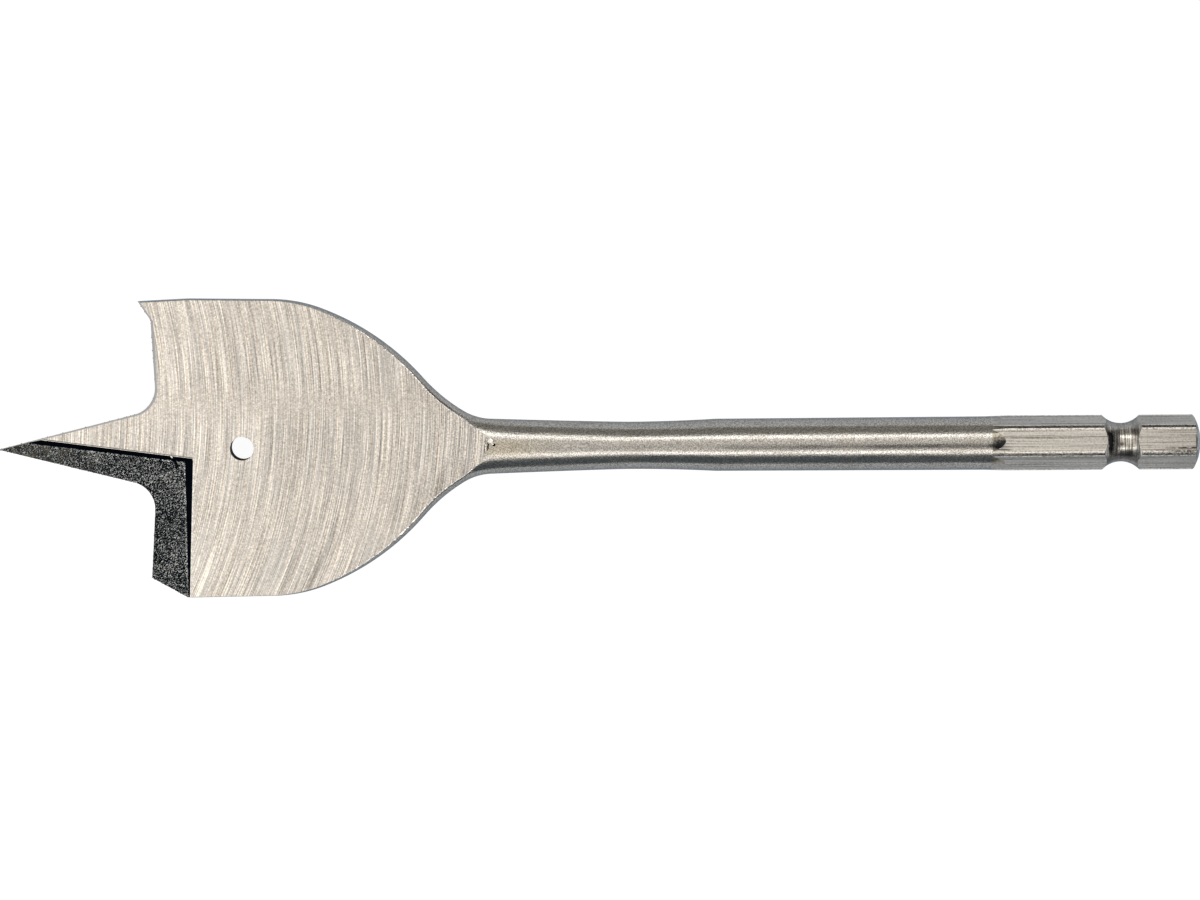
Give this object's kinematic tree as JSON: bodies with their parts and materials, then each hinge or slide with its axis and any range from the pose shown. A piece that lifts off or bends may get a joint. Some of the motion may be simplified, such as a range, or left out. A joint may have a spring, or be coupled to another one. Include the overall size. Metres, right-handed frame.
{
  "type": "spade drill bit",
  "caption": "Spade drill bit for boring flat-bottomed 38 mm holes in wood, one forged steel piece with a hexagonal quick-change shank, ground blade, centre point and rake recesses.",
  "frame": {"origin": "centre of the flat end face of the hexagonal shank, on the tool's axis", "axes": "+X along the tool's axis out of the shank's end, so that the point lies at -X; +Y across the blade towards the wing that has the spur; +Z square to the blade, out of its front face"},
  "size_m": [0.1521, 0.038, 0.0068],
  "materials": {
    "tool_steel": "bare steel: blade faces coarsely ground, shank forged and tumbled to a satin, recesses dark and grit-blasted"
  },
  "bodies": {
    "root": {"spade_drill_bit": "tool_steel"}
  },
  "joints": []
}
